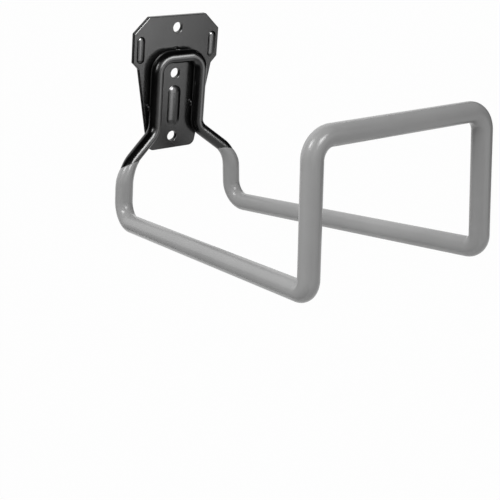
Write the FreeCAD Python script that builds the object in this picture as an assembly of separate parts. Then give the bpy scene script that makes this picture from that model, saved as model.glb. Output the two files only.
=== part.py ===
import FreeCAD, Part
import math
import os

# A wall hanger for a coiled garden hose. A stamped steel plate screws to the wall,
# and one closed loop of bent round rod is tack-welded to its front. The rod runs
# down the plate, splays out below it, drops, comes forward as two rising arms and
# ends in an upright front frame that keeps the hose on. From the splay forward the
# rod wears a dipped plastic coating.
#
# The wall is the plane Y = 0 and the hanger stands out towards -Y, with +Z up.
# The origin lies on the plate's back face, midway between its top and bottom holes,
# and the hanger is the same on both sides of the plane X = 0. Sizes are in mm.

Vector = FreeCAD.Vector

# Screw holes, all on the centre line
hole_diameter = 6.5
outer_hole_spacing = 70.0
middle_hole_height = 6.2
hole_edge_round = 0.4

# Plate: a wide head over a tapering skirt
sheet = 2.7
head_width = 61.0
top_width = 40.8
skirt_width = 53.0
foot_width = 33.7
top_margin = 7.4
bottom_margin = 8.0
shoulder_height = 9.6
head_side_height = 17.9
notch_height = 4.1
corner_round = 1.0
foot_round = 4.5
edge_round = 0.5

# Stiffening forms pressed out of the sheet from behind
rib_width = 5.4
rib_length = 16.6
rib_rise = 1.6
rib_inset = 4.7
rib_drop = 1.1
bead_width = 9.2
bead_rise = 2.2
bead_gap_above = 7.8
bead_gap_below = 7.1
crown_share = 0.12
press_wall = 1.6
recess_slope = 0.8

# Rod, sizes taken between centre lines
rod_diameter = 8.0
leg_spacing = 31.5
crossbar_over_hole = 11.75
leg_end_over_foot = 14.2
splay_height = 19.0
splay_width = 80.2
splay_forward = 6.3
drop_height = 33.3
heel_width = 83.3
drop_forward = 3.1
reach = 214.5
toe_width = 117.0
front_width = 112.0
arm_rise = 44.3
front_height = 73.3
front_lean = 12.3

# Bend radii of the rod's centre line
crossbar_bend = 9.0
leg_bend = 10.0
splay_bend = 20.0
heel_bend = 12.0
toe_bend = 8.0
front_bend = 11.0

# Dipped coating; the dip's slanted surface ends it near the splay's lower corner
coat_wall = 1.5
dip_over_corner = 1.3
dip_slope = 35.0
dip_side_slope = 12.0
coat_lip_round = 0.5

# Weld tacks in the crease between rod and plate
tack_radius = 1.9
tack_length = 4.6
tack_offset = 3.3
tack_depth = 1.0
tack_over_leg_end = 15.1

rod_radius = rod_diameter / 2
coat_radius = rod_radius + coat_wall
top_hole_height = outer_hole_spacing / 2
bottom_hole_height = -outer_hole_spacing / 2
hole_heights = [top_hole_height, middle_hole_height, bottom_hole_height]
plate_front = -sheet
plate_top = top_hole_height + top_margin
plate_foot = bottom_hole_height - bottom_margin
head_side_top = plate_top - shoulder_height
head_side_foot = head_side_top - head_side_height
skirt_top = head_side_foot - notch_height

leg_x = leg_spacing / 2
leg_y = plate_front - rod_radius
crossbar_z = middle_hole_height + crossbar_over_hole
leg_end_z = plate_foot + leg_end_over_foot
splay_y = leg_y - splay_forward
splay_z = leg_end_z - splay_height
heel_y = splay_y - drop_forward
heel_z = splay_z - drop_height
toe_z = heel_z + arm_rise
front_y = -reach + front_lean
front_z = toe_z + front_height
leg_tack_z = leg_end_z + tack_over_leg_end

outward = Vector(0, -1, 0)
mirror_normal = Vector(1, 0, 0)
origin = Vector(0, 0, 0)


# The arc that rounds a corner between two straight runs, with its centre
def corner_arc(before, corner, after, radius):
    back = (before - corner).normalize()
    ahead = (after - corner).normalize()
    half_angle = back.getAngle(ahead) / 2
    tangent_run = radius / math.tan(half_angle)
    bisector = (back + ahead).normalize()
    centre = corner + bisector * (radius / math.sin(half_angle))
    start = corner + back * tangent_run
    end = corner + ahead * tangent_run
    return start, centre - bisector * radius, end, centre


# A closed outline parallel to the wall: straight sides joined by corner arcs
def rounded_outline(corners, radii):
    arcs = []
    for index, corner in enumerate(corners):
        before = corners[index - 1]
        after = corners[(index + 1) % len(corners)]
        arcs.append(corner_arc(before, corner, after, radii[index])[:3])
    edges = []
    last_end = arcs[-1][2]
    for start, middle, end in arcs:
        edges.append(Part.LineSegment(last_end, start).toShape())
        edges.append(Part.Arc(start, middle, end).toShape())
        last_end = end
    return Part.Wire(edges)


# The flat blank, from the top right corner down to the foot and up the other side
def plate_blank():
    half = [
        (top_width / 2, plate_top, corner_round),
        (head_width / 2, head_side_top, corner_round),
        (head_width / 2, head_side_foot, corner_round),
        (skirt_width / 2, skirt_top, corner_round),
        (foot_width / 2, plate_foot, foot_round),
    ]
    full = half + [(-x, z, radius) for x, z, radius in reversed(half)]
    corners = [Vector(x, 0, z) for x, z, radius in full]
    outline = rounded_outline(corners, [radius for x, z, radius in full])
    return Part.Face(outline).extrude(outward * sheet)


# Half the section of a pressed form: a flat crown, then two equal arcs that run down
# to the given plane without an edge
def form_section(x, z, half_width, rise, base, plane):
    flat = half_width * crown_share
    run = half_width - flat
    slope = 2 * math.atan(rise / run)
    bend = run / (2 * math.sin(slope))
    side = bend * math.sin(slope / 2)
    drop = bend * (1 - math.cos(slope / 2))
    tip = plane - rise
    crown_middle = Vector(x, tip, z)
    crown_edge = Vector(x + flat, tip, z)
    shoulder = Vector(x + flat + side, tip + drop, z)
    middle = Vector(x + flat + run / 2, tip + rise / 2, z)
    hollow = Vector(x + half_width - side, plane - drop, z)
    root = Vector(x + half_width, plane, z)
    foot = Vector(x + half_width, base, z)
    base_middle = Vector(x, base, z)
    edges = [
        Part.LineSegment(crown_middle, crown_edge),
        Part.Arc(crown_edge, shoulder, middle),
        Part.Arc(middle, hollow, root),
        Part.LineSegment(root, foot),
        Part.LineSegment(foot, base_middle),
        Part.LineSegment(base_middle, crown_middle),
    ]
    return Part.Face(Part.Wire([edge.toShape() for edge in edges]))


# A round-ended form that rises from the given plane, with its root down to the base
def pressed_form(x, low, high, width, rise, base, plane):
    half_width = width / 2
    length = Vector(0, 0, high - low - width)
    lower = Vector(x, 0, low + half_width)
    section = form_section(x, low + half_width, half_width, rise, base, plane)
    right = section.extrude(length)
    left = right.mirror(lower, mirror_normal)
    bottom = section.revolve(lower, outward * -1, 180)
    top = section.translated(length).revolve(lower + length, outward, 180)
    return right.multiFuse([left, bottom, top]).removeSplitter()


# The hollow behind a form, as deep as the form rises or as its own width allows
def form_recess(x, low, high, width, rise):
    inner_width = width - 2 * press_wall
    depth = min(rise, inner_width / 2 * (1 - crown_share) * recess_slope)
    return pressed_form(x, low + press_wall, high - press_wall, inner_width, depth, sheet, 0)


# Place, ends, width and rise of each form: two ribs on the head, a bead on the skirt
def form_places():
    rib_x = head_width / 2 - rib_inset
    rib_middle = (head_side_top + head_side_foot) / 2 - rib_drop
    rib_low = rib_middle - rib_length / 2
    rib_high = rib_middle + rib_length / 2
    bead_low = bottom_hole_height + bead_gap_below
    bead_high = middle_hole_height - bead_gap_above
    return [
        (-rib_x, rib_low, rib_high, rib_width, rib_rise),
        (rib_x, rib_low, rib_high, rib_width, rib_rise),
        (0, bead_low, bead_high, bead_width, bead_rise),
    ]


# The plate's flat front, the largest face that lies on the front plane
def flat_front(plate):
    flats = [face for face in plate.Faces if abs(face.BoundBox.YMax - plate_front) < 0.001]
    flats = [face for face in flats if face.BoundBox.YLength < 0.001]
    return max(flats, key=lambda face: face.Area)


def back_plate():
    plate = plate_blank()
    plate = plate.makeFillet(edge_round, flat_front(plate).OuterWire.Edges)
    for x, low, high, width, rise in form_places():
        plate = plate.fuse(pressed_form(x, low, high, width, rise, plate_front / 2, plate_front))
        plate = plate.cut(form_recess(x, low, high, width, rise))
    for height in hole_heights:
        drill = Part.makeCylinder(hole_diameter / 2, 3 * sheet, Vector(0, sheet, height), outward)
        plate = plate.cut(drill)
    front = flat_front(plate)
    rims = [edge for edge in front.Edges if is_hole_rim(edge)]
    return plate.makeFillet(hole_edge_round, rims)


# True for a full circle of the screw holes' size
def is_hole_rim(edge):
    length = math.pi * hole_diameter
    return edge.isClosed() and abs(edge.Length - length) < 0.001


# The right half of the rod's centre line, from the crossbar's middle to the front's
def half_route():
    corners = [
        (Vector(leg_x, leg_y, crossbar_z), crossbar_bend),
        (Vector(leg_x, leg_y, leg_end_z), leg_bend),
        (Vector(splay_width / 2, splay_y, splay_z), splay_bend),
        (Vector(heel_width / 2, heel_y, heel_z), heel_bend),
        (Vector(toe_width / 2, -reach, toe_z), toe_bend),
        (Vector(front_width / 2, front_y, front_z), front_bend),
    ]
    first = Vector(0, leg_y, crossbar_z)
    last = Vector(0, front_y, front_z)
    return first, corners, last


# One bend of a round bar: its end section turned about the arc's centre
def bend_solid(start, end, centre, radius):
    axis = (start - centre).cross(end - centre)
    along = axis.cross(start - centre)
    section = Part.Face(Part.Wire(Part.makeCircle(radius, start, along)))
    angle = math.degrees((start - centre).getAngle(end - centre))
    return section.revolve(centre, axis, angle)


# The right half of the loop as a round bar of the given radius
def half_bar(radius):
    first, corners, last = half_route()
    points = [first] + [corner for corner, bend in corners] + [last]
    solids = []
    run_start = first
    for index, (corner, bend) in enumerate(corners):
        start, _, end, centre = corner_arc(points[index], corner, points[index + 2], bend)
        run = start - run_start
        solids.append(Part.makeCylinder(radius, run.Length, run_start, run))
        solids.append(bend_solid(start, end, centre, radius))
        run_start = end
    run = last - run_start
    solids.append(Part.makeCylinder(radius, run.Length, run_start, run))
    return solids[0].multiFuse(solids[1:])


# A half joined to its mirror image
def both_sides(half):
    return half.fuse(half.mirror(origin, mirror_normal)).removeSplitter()


# The way the right half's dip surface faces: up, forward and a little outwards
def dip_normal():
    side = math.tan(math.radians(dip_side_slope))
    slope = math.tan(math.radians(dip_slope))
    return Vector(side, slope, 1).normalize()


# Everything on the coated side of the right half's dip surface
def below_dip():
    size = 4 * reach
    centre = Vector(splay_width / 2, splay_y, splay_z + dip_over_corner)
    return Part.makeCylinder(size, size, centre, dip_normal() * -1)


# The lip's radius, as named or as large as rolls round the rim's pointed end
def lip_radius():
    leg_end = Vector(leg_x, leg_y, leg_end_z)
    corner = Vector(splay_width / 2, splay_y, splay_z)
    sharpness = abs((corner - leg_end).normalize().dot(dip_normal()))
    bluntness = 1 + math.sqrt(1 - sharpness ** 2)
    return min(coat_lip_round, 0.85 * coat_radius * sharpness ** 2 / bluntness)


def grip_coating(rod):
    half = half_bar(coat_radius).common(below_dip())
    coat = both_sides(half).cut(rod).Solids[0]
    cut_faces = [face for face in coat.Faces if is_dip_face(face)]
    rims = [face.OuterWire.Edges for face in cut_faces]
    return coat.makeFillet(lip_radius(), [edge for rim in rims for edge in rim])


# True for the flat ring that a dip surface leaves at an end of the coating
def is_dip_face(face):
    if not isinstance(face.Surface, Part.Plane):
        return False
    right = dip_normal()
    left = Vector(-right.x, right.y, right.z)
    axis = face.Surface.Axis
    return max(abs(axis.dot(right)), abs(axis.dot(left))) > 0.9999


# A round-ended tack along the given direction, fitted to the rod and the plate
def weld_tack(centre, along, rod, plate):
    straight = along * (tack_length / 2 - tack_radius)
    tip = along * (tack_length / 2)
    side = outward * tack_radius
    slant = math.sqrt(0.5)
    shoulder = straight + (along + outward) * (tack_radius * slant)
    far_shoulder = -straight + (outward - along) * (tack_radius * slant)
    edges = [
        Part.Arc(centre + tip, centre + shoulder, centre + straight + side),
        Part.LineSegment(centre + straight + side, centre - straight + side),
        Part.Arc(centre - straight + side, centre + far_shoulder, centre - tip),
        Part.LineSegment(centre - tip, centre + tip),
    ]
    profile = Part.Face(Part.Wire([edge.toShape() for edge in edges]))
    capsule = profile.revolve(centre, along, 360)
    return capsule.cut(plate).cut(rod)


# Names, centres and directions of the tacks: both sides of each leg, and the crossbar
def tack_places():
    y = plate_front - tack_depth
    upward = Vector(0, 0, 1)
    sideways = Vector(1, 0, 0)
    places = [("crossbar", Vector(0, y, crossbar_z + tack_offset), sideways)]
    for side, sign in (("left", -1), ("right", 1)):
        outer = Vector(sign * (leg_x + tack_offset), y, leg_tack_z)
        inner = Vector(sign * (leg_x - tack_offset), y, leg_tack_z)
        places.append((side + "_outer", outer, upward))
        places.append((side + "_inner", inner, upward))
    return places


# Write a piece as one solid
def export(name, shape):
    solid = shape.Solids[0]
    solid.exportStep(f"parts/{name}.step")
    print(name, len(shape.Solids), "solid, valid", solid.isValid(), "volume", round(solid.Volume, 1))


os.makedirs("parts", exist_ok=True)
plate = back_plate()
rod = both_sides(half_bar(rod_radius))
export("back_plate", plate)
export("hanger_rod", rod)
export("grip_coating", grip_coating(rod))
for place, centre, along in tack_places():
    export(f"weld_tack_{place}", weld_tack(centre, along, rod, plate))
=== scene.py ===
import bmesh
import bpy
import math
from mathutils import Matrix, Vector


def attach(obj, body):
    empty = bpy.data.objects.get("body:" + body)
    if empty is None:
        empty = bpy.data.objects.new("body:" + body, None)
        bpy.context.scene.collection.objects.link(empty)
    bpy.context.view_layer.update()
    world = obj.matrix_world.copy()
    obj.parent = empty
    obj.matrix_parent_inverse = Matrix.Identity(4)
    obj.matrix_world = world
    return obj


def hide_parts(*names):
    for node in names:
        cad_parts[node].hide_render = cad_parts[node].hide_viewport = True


# A wall hanger for a coiled garden hose: a black stamped plate, a bent rod loop
# tack-welded to it, and a grey plastic dip over the rod from the splay forward.
# The wall is the plane y = 0 and the hanger stands out towards -y. All in metres.

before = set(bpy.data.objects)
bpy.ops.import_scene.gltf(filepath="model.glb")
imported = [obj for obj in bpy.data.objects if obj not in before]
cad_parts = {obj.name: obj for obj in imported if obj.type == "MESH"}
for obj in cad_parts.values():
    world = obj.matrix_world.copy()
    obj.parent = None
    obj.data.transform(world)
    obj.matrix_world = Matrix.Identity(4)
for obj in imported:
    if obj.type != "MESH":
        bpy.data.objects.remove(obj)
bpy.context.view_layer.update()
scene = bpy.context.scene
weldGap = 0.000001  # points closer together than this are merged
print("frame loaded:", len(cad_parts), "nodes")


camera = {
    "place": (-0.36066, -0.54881, 0.19110),
    "right": (0.80450, -0.58795, 0.08426),
    "up": (0.18657, 0.38482, 0.90394),
    "back": (-0.56389, -0.71150, 0.41928),
    "focal": 77.26,  # for a 36 mm sensor
}


def makeCamera():
    data = bpy.data.cameras.new("camera")
    data.sensor_width = 36
    data.lens = camera["focal"]
    item = bpy.data.objects.new("camera", data)
    scene.collection.objects.link(item)
    turn = Matrix([camera["right"], camera["up"], camera["back"]]).transposed()
    item.matrix_world = Matrix.Translation(camera["place"]) @ turn.to_4x4()
    scene.camera = item


# Corners of the right half's centre line, from the crossbar to the front bar,
# each with the radius of its bend
route = {
    "first": (0, -0.0067, 0.01795),
    "corners": [
        ((0.01575, -0.0067, 0.01795), 0.009),
        ((0.01575, -0.0067, -0.0288), 0.010),
        ((0.0401, -0.0130, -0.0478), 0.020),
        ((0.04165, -0.0161, -0.0811), 0.012),
        ((0.0585, -0.2145, -0.0368), 0.008),
        ((0.0560, -0.2022, 0.0365), 0.011),
    ],
    "last": (0, -0.2022, 0.0365),
    "sides": 64,
    "stepAngle": 4.0,  # degrees of bend for each ring
    "fewestSteps": 4,  # in the shortest bend
}


def ringOf(geometry):
    verts = [part for part in geometry if isinstance(part, bmesh.types.BMVert)]
    edges = [part for part in geometry if isinstance(part, bmesh.types.BMEdge)]
    chosen = set(verts)
    return [edge for edge in edges if edge.verts[0] in chosen and edge.verts[1] in chosen]


def runBar(mesh, ring, run):
    made = bmesh.ops.extrude_edge_only(mesh, edges=ring)["geom"]
    verts = [part for part in made if isinstance(part, bmesh.types.BMVert)]
    bmesh.ops.translate(mesh, verts=verts, vec=run)
    return ringOf(made)


def bendBar(mesh, ring, centre, axis, angle):
    steps = max(route["fewestSteps"], round(math.degrees(angle) / route["stepAngle"]))
    turned = bmesh.ops.spin(mesh, geom=ring, cent=centre, axis=axis, angle=angle, steps=steps)
    return ringOf(turned["geom_last"])


# A bent bar of the given radius along the route, mirrored into a closed loop
def makeLoop(radius):
    mesh = bmesh.new()
    here = Vector(route["first"])
    facing = Matrix.Translation(here) @ Matrix.Rotation(math.radians(90), 4, "Y")
    bmesh.ops.create_circle(mesh, segments=route["sides"], radius=radius, matrix=facing)
    ring = mesh.edges[:]
    points = [here] + [Vector(place) for place, bend in route["corners"]] + [Vector(route["last"])]
    bends = [bend for place, bend in route["corners"]]
    for before, corner, after, bend in zip(points, points[1:], points[2:], bends):
        into = (corner - before).normalized()
        away = (after - corner).normalized()
        angle = into.angle(away)
        start = corner - into * bend * math.tan(angle / 2)
        ring = runBar(mesh, ring, start - here)
        axis = into.cross(away).normalized()
        centre = start + axis.cross(into) * bend
        ring = bendBar(mesh, ring, centre, axis, angle)
        here = corner + away * bend * math.tan(angle / 2)
    runBar(mesh, ring, points[-1] - here)
    half = mesh.verts[:] + mesh.edges[:] + mesh.faces[:]
    bmesh.ops.mirror(mesh, geom=half, axis="X", merge_dist=weldGap)
    bmesh.ops.remove_doubles(mesh, verts=mesh.verts, dist=weldGap)
    bmesh.ops.recalc_face_normals(mesh, faces=mesh.faces)
    return mesh


# Makes a smooth piece of the mesh, in the place of the CAD node where one is named
def finishMesh(mesh, name, material, node=None):
    for face in mesh.faces:
        face.smooth = True
    data = bpy.data.meshes.new(name)
    mesh.to_mesh(data)
    mesh.free()
    data.materials.append(material)
    piece = bpy.data.objects.new(name, data)
    scene.collection.objects.link(piece)
    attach(piece, "root")
    if node:
        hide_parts(node)
    return piece


rod = {"radius": 0.004}


def makeRod(material):
    mesh = makeLoop(rod["radius"])
    return finishMesh(mesh, "bentRod", material, "hanger_rod")


dip = {
    "radius": 0.0055,
    "liningRadius": 0.00397,  # a little under the rod's, so that no gap shows
    "place": (0.0401, -0.0130, -0.0465),  # a point of the right side's dip line
    "facing": (0.2126, 0.7002, 1.0),  # which way the right side's dip line looks
    # depth under the dip line, and the radius of the coated bar there
    "taper": [
        (0.0098, 0.00550),
        (0.0080, 0.00546),
        (0.0062, 0.00532),
        (0.0045, 0.00509),
        (0.0030, 0.00483),
        (0.0018, 0.00459),
        (0.0009, 0.00440),
        (0.0004, 0.00428),
        (0.00012, 0.00416),
        (0.0, 0.00404),
    ],
    "leastAngle": 0.000000001,  # between two points of a ring, so that it can be divided by
}


# A point or direction of the right side, carried over to the given side
def onSide(point, side):
    return Vector((point[0] * side, point[1], point[2]))


# Cuts one side of a loop the given depth under its dip line, and gives the ring of
# points there; with trim, what lies above goes
def cutAtDip(mesh, side, depth, trim):
    facing = onSide(dip["facing"], side).normalized()
    place = onSide(dip["place"], side) - facing * depth
    part = [face for face in mesh.faces if face.calc_center_median().x * side > 0]
    verts = dict.fromkeys(vert for face in part for vert in face.verts)
    edges = dict.fromkeys(edge for face in part for edge in face.edges)
    geometry = list(verts) + list(edges) + part
    cut = bmesh.ops.bisect_plane(
        mesh, geom=geometry, plane_co=place, plane_no=facing, clear_outer=trim
    )
    return [item for item in cut["geom_cut"] if isinstance(item, bmesh.types.BMVert)]


# The ring where a bar of the given radius meets the plane at a depth under the right
# dip line: its middle and, sorted by angle, how far out its points lie
def dipRing(radius, depth):
    mesh = makeLoop(radius)
    points = [vert.co.copy() for vert in cutAtDip(mesh, 1, depth, False)]
    mesh.free()
    middle = sum(points, Vector()) / len(points)
    spots = sorted((angleAt(point, middle), (point - middle).length) for point in points)
    first = (spots[0][0] + 2 * math.pi, spots[0][1])
    last = (spots[-1][0] - 2 * math.pi, spots[-1][1])
    return middle, [last] + spots + [first]


def dipAxes():
    facing = Vector(dip["facing"]).normalized()
    across = facing.cross(Vector((0, 1, 0))).normalized()
    return across, facing.cross(across)


def angleAt(point, middle):
    across, along = dipAxes()
    return math.atan2((point - middle).dot(along), (point - middle).dot(across))


def pointAt(angle, ring):
    middle, spots = ring
    across, along = dipAxes()
    pairs = zip(spots, spots[1:])
    before, after = next(pair for pair in pairs if pair[0][0] <= angle <= pair[1][0])
    part = (angle - before[0]) / max(after[0] - before[0], dip["leastAngle"])
    out = before[1] + (after[1] - before[1]) * part
    return middle + (across * math.cos(angle) + along * math.sin(angle)) * out


# Thins the coating towards its edge: each ring runs on into a thinner bar's ring
def taperGrip(mesh, side, rings):
    cutAtDip(mesh, side, dip["taper"][0][0], True)
    ends = [edge for edge in mesh.edges if edge.is_boundary and edge.verts[0].co.x * side > 0]
    for ring, thinner in zip(rings, rings[1:]):
        made = bmesh.ops.extrude_edge_only(mesh, edges=ends)["geom"]
        for vert in made:
            if isinstance(vert, bmesh.types.BMVert):
                angle = angleAt(onSide(vert.co, side), ring[0])
                vert.co = onSide(pointAt(angle, thinner), side)
        ends = ringOf(made)


def makeGrip(material):
    mesh = makeLoop(dip["radius"])
    inner = makeLoop(dip["liningRadius"])
    rings = [dipRing(radius, depth) for depth, radius in dip["taper"]]
    for side in (1, -1):
        taperGrip(mesh, side, rings)
        cutAtDip(inner, side, 0, True)
    bmesh.ops.reverse_faces(inner, faces=inner.faces)
    lining = bpy.data.meshes.new("gripLining")
    inner.to_mesh(lining)
    inner.free()
    mesh.from_mesh(lining)
    bpy.data.meshes.remove(lining)
    rims = [edge for edge in mesh.edges if edge.is_boundary]
    for side in (1, -1):
        ends = [edge for edge in rims if edge.verts[0].co.x * side > 0]
        bmesh.ops.bridge_loops(mesh, edges=ends)
    bmesh.ops.recalc_face_normals(mesh, faces=mesh.faces)
    return finishMesh(mesh, "dippedGrip", material, "grip_coating")


powder = {
    "dark": (0.002, 0.002, 0.0022, 1),
    "pale": (0.005, 0.005, 0.0052, 1),
    "gloss": (0.20, 0.27),  # roughness in the dark and in the pale blotches
    "shine": 0.5,
    "blotches": 60.0,  # to the metre
    "peel": 700.0,  # orange peel, bumps to the metre
    "peelHeight": 0.00002,
}
vinyl = {
    "dark": (0.266, 0.266, 0.266, 1),
    "pale": (0.284, 0.284, 0.283, 1),
    "gloss": (0.24, 0.27),
    "shine": 0.5,
    "blotches": 45.0,
    "peel": 900.0,
    "peelHeight": 0.000003,
}
mottle = {
    "blotchDetail": 4,
    "blotchSpread": (0.3, 0.7),  # noise values that give plain dark and plain pale
    "bumpDetail": 2,
}


# Soft blotches and fine bumps on Object coordinates, shared by both finishes
def surfaceGroup():
    group = bpy.data.node_groups.new("surfaceCharacter", "ShaderNodeTree")
    sockets = {"Blotch Scale": "INPUT", "Bump Scale": "INPUT", "Blotches": "OUTPUT", "Bumps": "OUTPUT"}
    for label, way in sockets.items():
        group.interface.new_socket(label, in_out=way, socket_type="NodeSocketFloat")
    nodes = group.nodes
    links = group.links
    given = nodes.new("NodeGroupInput")
    result = nodes.new("NodeGroupOutput")
    where = nodes.new("ShaderNodeTexCoord")
    blotch = nodes.new("ShaderNodeTexNoise")
    blotch.inputs["Detail"].default_value = mottle["blotchDetail"]
    spread = nodes.new("ShaderNodeMapRange")
    spread.inputs["From Min"].default_value = mottle["blotchSpread"][0]
    spread.inputs["From Max"].default_value = mottle["blotchSpread"][1]
    bumps = nodes.new("ShaderNodeTexNoise")
    bumps.inputs["Detail"].default_value = mottle["bumpDetail"]
    links.new(where.outputs["Object"], blotch.inputs["Vector"])
    links.new(where.outputs["Object"], bumps.inputs["Vector"])
    links.new(given.outputs["Blotch Scale"], blotch.inputs["Scale"])
    links.new(given.outputs["Bump Scale"], bumps.inputs["Scale"])
    links.new(blotch.outputs["Fac"], spread.inputs["Value"])
    links.new(spread.outputs["Result"], result.inputs["Blotches"])
    links.new(bumps.outputs["Fac"], result.inputs["Bumps"])
    return group


def makeFinish(name, look, group):
    material = bpy.data.materials.new(name)
    material.use_nodes = True
    nodes = material.node_tree.nodes
    links = material.node_tree.links
    shader = nodes["Principled BSDF"]
    shader.inputs["Specular IOR Level"].default_value = look["shine"]
    character = nodes.new("ShaderNodeGroup")
    character.node_tree = group
    character.inputs["Blotch Scale"].default_value = look["blotches"]
    character.inputs["Bump Scale"].default_value = look["peel"]
    tint = nodes.new("ShaderNodeMix")
    tint.data_type = "RGBA"
    tint.inputs["A"].default_value = look["dark"]
    tint.inputs["B"].default_value = look["pale"]
    gloss = nodes.new("ShaderNodeMapRange")
    gloss.inputs["To Min"].default_value = look["gloss"][0]
    gloss.inputs["To Max"].default_value = look["gloss"][1]
    bump = nodes.new("ShaderNodeBump")
    bump.inputs["Distance"].default_value = look["peelHeight"]
    links.new(character.outputs["Blotches"], tint.inputs["Factor"])
    links.new(character.outputs["Blotches"], gloss.inputs["Value"])
    links.new(character.outputs["Bumps"], bump.inputs["Height"])
    links.new(tint.outputs["Result"], shader.inputs["Base Color"])
    links.new(gloss.outputs["Result"], shader.inputs["Roughness"])
    links.new(bump.outputs["Normal"], shader.inputs["Normal"])
    return material


# The plate as stamped, with the bead and ribs pressed out of it: low, full crowns
# with short steep sides
pressed = {
    "face": -0.0027,  # the plate's front
    "seat": 0.0001,  # how far under the front the forms start
    "forms": [
        # name, middle x, low end, high end, width, rise
        ("pressedBead", 0.0, -0.0279, -0.0016, 0.0092, 0.0015),
        ("leftPressedRib", -0.0258, 0.01445, 0.03105, 0.0054, 0.0011),
        ("rightPressedRib", 0.0258, 0.01445, 0.03105, 0.0054, 0.0011),
    ],
    # share of the half width, share of the rise
    "section": [
        (1.05, -0.12),
        (1.02, 0.0),
        (0.985, 0.05),
        (0.95, 0.13),
        (0.91, 0.23),
        (0.87, 0.33),
        (0.80, 0.45),
        (0.70, 0.585),
        (0.58, 0.72),
        (0.44, 0.84),
        (0.28, 0.935),
        (0.12, 0.99),
    ],
    "sides": 64,
    "leeway": 0.00001,  # a point this far out of the front belongs to a form
    "flatness": 0.9999,  # how squarely a face has to look along y to be a flat one
    "sharpAngle": 35,  # degrees between two faces that leave an edge sharp
}


# A copy of the solid's plate whose own forms are pressed flat, to take the ones below
def makePlate(node, material):
    mesh = bmesh.new()
    mesh.from_mesh(node.data)
    bmesh.ops.remove_doubles(mesh, verts=mesh.verts, dist=weldGap)
    for vert in mesh.verts:
        if vert.co.y < pressed["face"] - pressed["leeway"]:
            vert.co.y = pressed["face"] + pressed["seat"]
    mesh.normal_update()
    for edge in mesh.edges:
        flat = [abs(face.normal.y) > pressed["flatness"] for face in edge.link_faces]
        blunt = edge.calc_face_angle(0) < math.radians(pressed["sharpAngle"])
        edge.smooth = flat.count(True) != 1 and blunt
    return finishMesh(mesh, "stampedPlate", material, "back_plate")


def makePressedForm(name, x, low, high, width, rise, material):
    mesh = bmesh.new()
    reach = (high - low - width) / 2
    rings = []
    for out, up in pressed["section"]:
        middle = Vector((x, pressed["face"] - rise * up, (low + high) / 2))
        facing = Matrix.Translation(middle) @ Matrix.Rotation(math.radians(90), 4, "X")
        ring = bmesh.ops.create_circle(
            mesh, segments=pressed["sides"], radius=width / 2 * out, matrix=facing
        )["verts"]
        halfStep = Matrix.Rotation(math.pi / pressed["sides"], 3, "Y")
        bmesh.ops.rotate(mesh, verts=ring, cent=middle, matrix=halfStep)
        for side in (1, -1):
            half = [vert for vert in ring if (vert.co.z - middle.z) * side > 0]
            bmesh.ops.translate(mesh, verts=half, vec=(0, 0, reach * side))
        rings.append(ring)
    for outer, inner in zip(rings, rings[1:]):
        both = set(outer) | set(inner)
        loops = [edge for edge in mesh.edges if edge.verts[0] in both and edge.verts[1] in both]
        loops = [edge for edge in loops if not edge.link_faces or edge.is_boundary]
        bmesh.ops.bridge_loops(mesh, edges=loops)
    bmesh.ops.holes_fill(mesh, edges=[edge for edge in mesh.edges if edge.is_boundary])
    bmesh.ops.recalc_face_normals(mesh, faces=mesh.faces)
    return finishMesh(mesh, name, material)


def dressNode(node, material):
    for slot in node.material_slots:
        slot.material = material


studio = {
    "middle": (0, -0.10, -0.02),  # what the lamps and cards face
    "floorHeight": -0.60,
    "floorSize": 9.0,
    "floorColor": (0.86, 0.86, 0.86, 1),
    "floorRoughness": 0.9,
    "floorWhite": 0.97,  # how far the eye sees plain white there, over the shadows
    "ambient": 0.66,
    "lamps": [
        # name, degrees right of straight ahead, degrees up, distance, width, height,
        # brightness, the pieces it lights, and whether it gives gloss or colour alone
        ("sideLamp", -98, 42, 1.2, 0.34, 0.40, 13.0, "grip", "gloss"),
        ("topLamp", -5, 43, 1.2, 0.44, 0.36, 14.0, "grip", "gloss"),
        ("softBox", -85, 46, 1.2, 0.70, 0.60, 8.0, "grip", "colour"),
        ("frontPanel", 27, 23, 0.28, 0.23, 0.15, 12.0, "rod", "gloss"),
        ("lowStrip", 40, -14, 1.4, 0.90, 0.60, 2.6, "rod", "gloss"),
        ("leftStrip", -62, 22, 1.2, 0.35, 0.55, 10.0, "rod", "gloss"),
        ("rodSpark", 11, 37, 0.07, 0.050, 0.045, 12.0, "rod", "gloss"),
        ("sparkLamp", -10, 30, 1.2, 0.60, 0.50, 60.0, "plate", "gloss"),
        ("plateStrip", -20, -15, 1.3, 1.40, 0.55, 2.7, "plate", "gloss"),
        ("platePanel", 12, 1, 1.3, 1.10, 0.89, 3.9, "plate", "gloss"),
    ],
    # black cards that shape the reflections
    "cards": [
        # name, degrees right of straight ahead, degrees up, distance, width, height
        ("leftCard", -95, 12, 2.2, 5.6, 3.6),
        ("lowCard", -95, -40, 0.45, 1.40, 0.55),
        ("topCard", -20, 80, 2.2, 4.2, 4.2),
        ("rightCard", 86, 8, 2.2, 3.7, 4.1),
        ("frontCard", -28, -15, 2.0, 1.60, 1.10),
    ],
}


# White to the eye, in gloss and through glass; plain to the light it sends on
def whiteToEye(nodes, links, plain, white, output):
    path = nodes.new("ShaderNodeLightPath")
    seen = nodes.new("ShaderNodeMath")
    seen.operation = "MAXIMUM"
    shown = nodes.new("ShaderNodeMath")
    shown.operation = "MAXIMUM"
    links.new(path.outputs["Is Camera Ray"], seen.inputs[0])
    links.new(path.outputs["Is Glossy Ray"], seen.inputs[1])
    links.new(seen.outputs[0], shown.inputs[0])
    links.new(path.outputs["Is Transmission Ray"], shown.inputs[1])
    mix = nodes.new("ShaderNodeMixShader")
    links.new(shown.outputs[0], mix.inputs[0])
    links.new(plain, mix.inputs[1])
    links.new(white, mix.inputs[2])
    links.new(mix.outputs[0], output)


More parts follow.
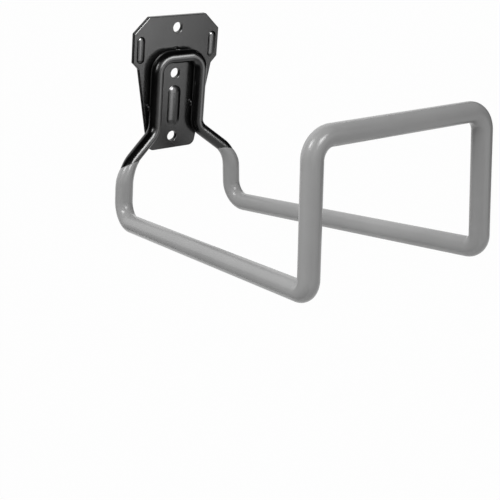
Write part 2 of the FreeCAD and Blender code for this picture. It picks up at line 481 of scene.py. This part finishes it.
# A flat piece of the stage, turned and placed by the given matrix
def makePanel(name, width, height, place, material):
    mesh = bmesh.new()
    bmesh.ops.create_grid(mesh, x_segments=1, y_segments=1, size=0.5)
    bmesh.ops.scale(mesh, verts=mesh.verts, vec=(width, height, 1))
    bmesh.ops.transform(mesh, matrix=place, verts=mesh.verts)
    data = bpy.data.meshes.new(name)
    mesh.to_mesh(data)
    mesh.free()
    data.materials.append(material)
    panel = bpy.data.objects.new(name, data)
    scene.collection.objects.link(panel)
    return panel


def makeFloor():
    material = bpy.data.materials.new("paleFloor")
    material.use_nodes = True
    nodes = material.node_tree.nodes
    links = material.node_tree.links
    shader = nodes["Principled BSDF"]
    shader.inputs["Base Color"].default_value = studio["floorColor"]
    shader.inputs["Roughness"].default_value = studio["floorRoughness"]
    glow = nodes.new("ShaderNodeEmission")
    shadowed = nodes.new("ShaderNodeMixShader")
    shadowed.inputs[0].default_value = studio["floorWhite"]
    links.new(shader.outputs["BSDF"], shadowed.inputs[1])
    links.new(glow.outputs["Emission"], shadowed.inputs[2])
    surface = nodes["Material Output"].inputs["Surface"]
    whiteToEye(nodes, links, shader.outputs["BSDF"], shadowed.outputs[0], surface)
    place = Matrix.Translation((0, 0, studio["floorHeight"]))
    makePanel("floor", studio["floorSize"], studio["floorSize"], place, material)


def makeWorld():
    world = bpy.data.worlds.new("studio")
    scene.world = world
    world.use_nodes = True
    nodes = world.node_tree.nodes
    links = world.node_tree.links
    plain = nodes["Background"]
    plain.inputs["Color"].default_value = (1, 1, 1, 1)
    plain.inputs["Strength"].default_value = studio["ambient"]
    white = nodes.new("ShaderNodeBackground")
    white.inputs["Color"].default_value = (1, 1, 1, 1)
    surface = nodes["World Output"].inputs["Surface"]
    whiteToEye(nodes, links, plain.outputs["Background"], white.outputs["Background"], surface)


# Where something stands that faces the hanger, and how it is turned
def facingHanger(side, up, distance):
    side = math.radians(side)
    up = math.radians(up)
    away = Vector((math.sin(side) * math.cos(up), -math.cos(side) * math.cos(up), math.sin(up)))
    turn = away.to_track_quat("Z", "Y")
    place = Vector(studio["middle"]) + away * distance
    return Matrix.Translation(place) @ turn.to_matrix().to_4x4()


def makeLamp(lit, name, side, up, distance, width, height, brightness, pieces, gives):
    data = bpy.data.lights.new(name, "AREA")
    data.shape = "RECTANGLE"
    data.size = width
    data.size_y = height
    data.energy = brightness * math.pi * width * height
    lamp = bpy.data.objects.new(name, data)
    scene.collection.objects.link(lamp)
    lamp.matrix_world = facingHanger(side, up, distance)
    lamp.visible_camera = False
    lamp.visible_diffuse = gives == "colour"
    lamp.visible_glossy = gives == "gloss"
    lamp.light_linking.receiver_collection = lit[pieces]


def makeCard(felt, name, side, up, distance, width, height):
    card = makePanel(name, width, height, facingHanger(side, up, distance), felt)
    card.visible_camera = False
    card.visible_diffuse = False
    card.visible_shadow = False


def makeFelt():
    felt = bpy.data.materials.new("blackFelt")
    felt.use_nodes = True
    shader = felt.node_tree.nodes["Principled BSDF"]
    shader.inputs["Base Color"].default_value = (0, 0, 0, 1)
    shader.inputs["Specular IOR Level"].default_value = 0
    return felt


makeCamera()
print("camera placed")

group = surfaceGroup()
powderCoat = makeFinish("powderCoat", powder, group)
vinylDip = makeFinish("vinylDip", vinyl, group)
print("materials made")

bars = [makeRod(powderCoat)]
grips = [makeGrip(vinylDip)]
plates = [makePlate(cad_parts["back_plate"], powderCoat)]
for name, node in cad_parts.items():
    if name.startswith("weld_tack"):
        dressNode(node, powderCoat)
        bars.append(node)
for form in pressed["forms"]:
    plates.append(makePressedForm(*form, powderCoat))
print("pieces made")

makeFloor()
makeWorld()
lit = {}
for name, pieces in {"grip": grips, "rod": bars, "plate": plates}.items():
    lit[name] = bpy.data.collections.new("lit_" + name)
    for piece in pieces:
        lit[name].objects.link(piece)
for lamp in studio["lamps"]:
    makeLamp(lit, *lamp)
felt = makeFelt()
for card in studio["cards"]:
    makeCard(felt, *card)
scene.view_settings.view_transform = "Standard"
print("studio lit")
